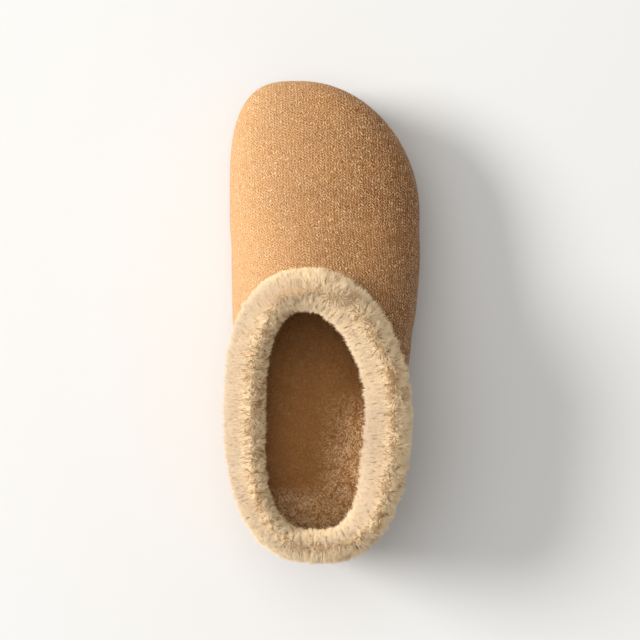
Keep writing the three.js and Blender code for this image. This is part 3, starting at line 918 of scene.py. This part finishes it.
class SLIPPER_OT_knit_upper(bpy.types.Operator):
    """Seamless knitted upper, one hollow shell"""

    bl_idname = "slipper.knit_upper"
    bl_label = "Knitted upper"

    def execute(self, context):
        skin, normal = dressed_skin()
        rings = np.concatenate([skin, (skin - normal * WALL)[::-1]])
        bare = upper_skin(stations(UPPER_TOE_STEPS, UPPER_HEEL_STEPS), UPPER_LOW, UPPER_HIGH)
        lengths = cloth_lengths(bare, UPPER_LOW)
        uv = np.concatenate([lengths, lengths[::-1]]).reshape(-1, 2)
        faces = tyre_faces(len(rings), rings.shape[1])
        material = knit_finish(context.scene.slipper)
        new_piece("knit_upper", rings.reshape(-1, 3), faces, material, ["upper"], uv=uv)
        return {"FINISHED"}


def on_grid(grid, row, column):
    """Values between the points of a grid that closes round: bilinear."""
    count = grid.shape[1]
    i, k = row.astype(int), column.astype(int) % count
    up, on = (row - i)[:, None], (column - column.astype(int))[:, None]
    low = grid[i, k] * (1 - on) + grid[i, (k + 1) % count] * on
    high = grid[i + 1, k] * (1 - on) + grid[i + 1, (k + 1) % count] * on
    return low * (1 - up) + high * up


class SLIPPER_OT_lining(bpy.types.Operator):
    """Pile of the lining inside the upper"""

    bl_idname = "slipper.lining"
    bl_label = "Pile lining"

    def execute(self, context):
        props = context.scene.slipper
        rng = np.random.default_rng(5)
        skin, normal = dressed_skin()
        inner = skin - normal * (WALL - 0.3)
        rows, count = inner.shape[:2]
        number = props.lining_strands * 3
        low, high = UPPER_LOW * 0.6, rows - 1.01
        row = rng.uniform(low, high, number)
        column = rng.uniform(0, count, number)
        # The square root sets more of them towards the opening
        row = low + (high - low) * np.sqrt((row - row.min()) / np.ptp(row))
        root, inward = on_grid(inner, row, column), -on_grid(normal, row, column)
        keep = root[:, 1] < OPENING_FRONT + 30.0
        keep &= root[:, 2] > seat_z(along_of(root[:, 1])) + FOOTBED * 0.7
        pick = np.flatnonzero(keep)[: props.lining_strands]
        root, inward = root[pick], inward[pick]
        comb = rng.normal(0, 0.25, (len(pick), 3)) * (1, 1, 0) + (0, 0, -0.45)
        clump, _ = nearest_clump(np.column_stack([column[pick] * 2.2, root[:, 2]]), LINING_CLUMP)
        # The wall's pile takes the lit copies of the pile colours: painted light
        pile = fur_finish(
            "lining_pile", props.pile_root, props.lit_lining_body, props.lit_lining_tip, props.pile_body,
            props.lit_lining_tip)
        marks = {"tuft": 0.4, "painted_light": 0.5, "painted_shade_patches": 0.0}
        length = props.pile_length / MM
        strands("lining_pile", root, inward, comb, clump, length, 0.5, 0.3, marks, rng, pile)
        return {"FINISHED"}


class Roll:
    """The fur roll: its centre line, and its section at each share of a turn."""

    def __init__(self):
        round_ = stations(320, 240)
        _, toeward, share = round_
        plan = opening_points(round_, ROLL_FORWARD, ROLL_OUT, ROLL_BACK)
        edge = opening_points(round_, 0, 0, 0)
        forward = np.where(toeward, share**2, 0)
        lift = ROLL_OVER_SIDE + (ROLL_OVER_VAMP - ROLL_OVER_SIDE) * forward
        line = np.column_stack([plan + ROLL_SHIFT, last_z(edge[:, 0], edge[:, 1]) + lift])
        line = np.concatenate([line, line[:1]])
        far = np.r_[0, np.cumsum(np.linalg.norm(np.diff(line, axis=0), axis=1))]
        self.length = far[-1]
        self.turns = far / far[-1]
        self.line = line

    def centre(self, turn):
        turn = np.mod(turn, 1.0)
        return np.stack([np.interp(turn, self.turns, self.line[:, i]) for i in range(3)], -1)

    def on(self, turn, angle, grow=0.0):
        """Point and normal on the section, an ellipse that is narrower at the heel, and the
        tangent of the line. The angle runs from the outer side over the crest."""
        centre = self.centre(turn)
        tangent = unit(self.centre(turn + 0.004) - self.centre(turn - 0.004))
        outward = unit(np.cross(tangent, UP))
        rise = np.cross(outward, tangent)
        back = np.clip((OPENING_WAIST - centre[..., 1]) / (OPENING_WAIST - OPENING_BACK), 0, 1)
        wide = ROLL_WIDTH + (ROLL_HEEL_WIDTH - ROLL_WIDTH) * back * back * (3 - 2 * back)
        a, b = (wide / 2 + grow)[..., None], ROLL_HEIGHT / 2 + grow
        cos, sin = np.cos(angle)[..., None], np.sin(angle)[..., None]
        point = centre + outward * a * cos + rise * b * sin
        normal = outward * b * cos + rise * a * sin
        return point, unit(normal), tangent


class SLIPPER_OT_fur_collar(bpy.types.Operator):
    """Deep fur collar: a soft roll and its strands"""

    bl_idname = "slipper.fur_collar"
    bl_label = "Fur collar"

    def execute(self, context):
        props = context.scene.slipper
        roll = Roll()
        self.base(props, roll)
        fur = fur_finish(
            "fur", props.fur_root, props.fur_body, props.fur_tip, props.fur_tan, props.fur_painted_light)
        for index, (name, start, end) in enumerate(FUR_BANDS):
            self.band(props, roll, "collar_fur_" + name, start, end, fur, 21 + index)
        return {"FINISHED"}

    def base(self, props, roll):
        """The roll under the strands: an ellipse swept round, swelled by crossing waves."""
        rings, count = 40, 360
        angle, turn = np.meshgrid(
            np.arange(rings) / rings * 2 * math.pi, np.arange(count) / count, indexing="ij")
        round_ = turn * 2 * math.pi
        swell = 0.35 * np.sin(round_ * 23 + 2 * np.sin(angle)) * np.cos(2 * angle + 1.2)
        swell += 0.3 * np.sin(round_ * 37 + 3 * angle)
        point, normal, _ = roll.on(turn, angle, ROLL_UNDER_FUR + 0.3)
        point = point + normal * swell[..., None]
        # The ground's light tone is the painted light colour, so that the shaded gaps between
        # strands read lighter
        ground = pile_base_finish("fur_ground", props.fur_tan, props.fur_painted_light)
        faces = tyre_faces(rings, count)
        new_piece("collar_roll", point.reshape(-1, 3), faces, ground, ["fur_collar"])

    def band(self, props, roll, name, start, end, fur, seed):
        """Strands of one band of the roll. They are combed away from a wavy parting: outwards and
        down over the outer side, inwards and down into the shoe, and a little to the toe. Where
        they face the shoe's outer side they open in swirling tufts."""
        rng = np.random.default_rng(seed)
        number = props.fur_strands
        turn = rng.uniform(0, 1, number)
        angle = np.radians(rng.uniform(start, end, number))
        point, normal, tangent = roll.on(turn, angle, ROLL_UNDER_FUR)
        outward = unit(np.cross(tangent, UP))
        round_ = turn * 2 * math.pi
        at = np.column_stack([turn * roll.length, angle * ROLL_WIDTH / 2 * 0.55])
        clump, inward = nearest_clump(at, FUR_CLUMP)

        parting = math.pi / 2 - math.radians(PARTING) * outward[:, 0]
        parting += 0.16 * np.sin(round_ * 9 + 1.0) + 0.1 * np.sin(round_ * 23 + 2.0)
        off = angle - parting + 0.16 * shaken(clump + 53)[:, 0]
        away = np.tanh(off / 0.45)[:, None] * np.cross(tangent, normal)
        toeward = np.array([0.0, 1.0, 0.0]) * np.clip(0.5 + point[:, 1:2] / 120.0, 0, 1)
        comb = -FUR_COMBED * away + 0.35 * toeward

        # Tufts on the side away from the light, painted light on the tips there and at the front
        # and heel, and the inner side, with painted shade in patches at the medial side, where it
        # faces away from the light, and hanging longer at the lateral heel
        tuft = np.clip(0.25 + 1.15 * normal[:, 0], 0, 1)
        painted_light = np.clip(1.6 * tuft + 0.9 * np.abs(normal[:, 1]), 0, 1)
        within = np.clip(np.degrees(angle) / 30 - 3.4, 0, 1)
        shaded = np.clip(np.degrees(angle) / 25 - 3.2, 0, 1) * np.clip(0.25 + normal[:, 0], 0, 1)
        painted_shade_patches = shaded * (0.15 + 0.7 * shaken(clump + 71)[:, 0])
        heel = np.exp(-(((point[:, 1] - y_of(0.17)) / 30.0) ** 2))
        hanging = within * heel * np.clip(outward[:, 0], 0, 1)

        swirl = np.sin(round_ * 11 + 2.5 * angle) + np.sin(round_ * 29 - 4 * angle)
        gather = tangent * inward[:, :1] + np.cross(normal, tangent) * inward[:, 1:]
        fur_length = props.fur_length / MM
        comb += tangent * (0.36 * swirl * tuft)[:, None]
        comb -= outward * (0.5 * hanging)[:, None]
        comb += gather * (FUR_GATHERED * tuft / fur_length)[:, None]
        stray = np.where(rng.uniform(0, 1, number) < FUR_STRAYS, STRAY_WILD, 1.0)
        wild = (0.22 + 0.26 * tuft + 0.25 * within) * stray
        shorter = 0.25 * within * (1 - 1.2 * outward[:, 0])
        length = fur_length * (1 + 0.3 * tuft - shorter + 0.5 * hanging)
        upwards = FUR_UPWARDS * (1.0 - 0.4 * tuft) * np.clip(0.2 + 1.6 * normal[:, 2], 0.1, 1)
        marks = {"tuft": tuft, "painted_light": painted_light, "painted_shade_patches": painted_shade_patches}
        strands(name, point, normal, comb, clump, length[:, None], wild[:, None],
                upwards[:, None], marks, rng, fur)


class SLIPPER_OT_stage(bpy.types.Operator):
    """Floor, lights and the camera over the shoe"""

    bl_idname = "slipper.stage"
    bl_label = "Studio"

    def execute(self, context):
        scene = context.scene
        self.floor(scene)
        self.lights(scene)
        self.camera(scene)
        scene.view_settings.view_transform = "Standard"
        return {"FINISHED"}

    def floor(self, scene):
        mesh = bpy.data.meshes.new("studio_floor")
        half = FLOOR_HALF
        corners = [(-half, -half, 0), (half, -half, 0), (half, half, 0), (-half, half, 0)]
        mesh.from_pydata(corners, [], [(0, 1, 2, 3)])
        finish = Finish(
            "studio_floor", Roughness=0.85, Specular_IOR_Level=0.1, Base_Color=FLOOR_COLOUR)
        mesh.materials.append(finish.material)
        floor = bpy.data.objects.new("studio_floor", mesh)
        scene.collection.objects.link(floor)

    def lights(self, scene):
        world = bpy.data.worlds.new("studio")
        world.use_nodes = True
        background = world.node_tree.nodes["Background"]
        background.inputs["Color"].default_value = WORLD_COLOUR
        background.inputs["Strength"].default_value = WORLD_STRENGTH
        scene.world = world
        for name, light in LIGHTS.items():
            self.softbox(scene, name, **light)

    def softbox(self, scene, name, place, size, power):
        """A soft light that looks at the shoe."""
        light = bpy.data.lights.new(name, "AREA")
        light.shape = "ELLIPSE"
        light.size, light.size_y = size
        light.energy = power
        light.color = LIGHT_COLOUR
        lamp = bpy.data.objects.new(name, light)
        lamp.location = place
        lamp.rotation_euler = (-Vector(place)).to_track_quat("-Z", "Y").to_euler()
        scene.collection.objects.link(lamp)

    def camera(self, scene):
        data = bpy.data.cameras.new("camera")
        eye = Vector((CAMERA_ASIDE, CAMERA_ALONG, CAMERA_HEIGHT)) * MM
        aim = Vector((0.0, 0.0, SCALE_LEVEL)) * MM
        forward = (aim - eye).normalized()
        right = forward.cross(Vector((0, 1, 0))).normalized()
        up = right.cross(forward)
        turn = Matrix((right, up, -forward)).transposed().to_4x4()
        camera = bpy.data.objects.new("camera", data)
        camera.matrix_world = Matrix.Translation(eye) @ turn
        data.sensor_width = SENSOR
        data.lens = SENSOR * (aim - eye).length / (PHOTO_MM_PER_PIXEL * PHOTO_PIXELS * MM)
        scene.collection.objects.link(camera)
        scene.camera = camera


PIECES = (
    SLIPPER_OT_stage, SLIPPER_OT_sole, SLIPPER_OT_footbed, SLIPPER_OT_knit_upper,
    SLIPPER_OT_lining, SLIPPER_OT_fur_collar,
)


class SLIPPER_PT_pieces(bpy.types.Panel):
    """Lists the pieces of the slipper and their sizes"""

    bl_label = "Clog slipper"
    bl_idname = "SLIPPER_PT_pieces"
    bl_space_type = "VIEW_3D"
    bl_region_type = "UI"
    bl_category = "Slipper"

    def draw(self, context):
        for name in SlipperProperties.__annotations__:
            self.layout.prop(context.scene.slipper, name)
        for piece in PIECES:
            self.layout.operator(piece.bl_idname)


CLASSES = (SlipperProperties, *PIECES, SLIPPER_PT_pieces)


def register():
    for made in CLASSES:
        bpy.utils.register_class(made)
    bpy.types.Scene.slipper = bpy.props.PointerProperty(type=SlipperProperties)


def unregister():
    del bpy.types.Scene.slipper
    for made in reversed(CLASSES):
        bpy.utils.unregister_class(made)


def main():
    register()
    for piece in PIECES:
        group, name = piece.bl_idname.split(".")
        getattr(getattr(bpy.ops, group), name)()


if __name__ == "__main__":
    main()
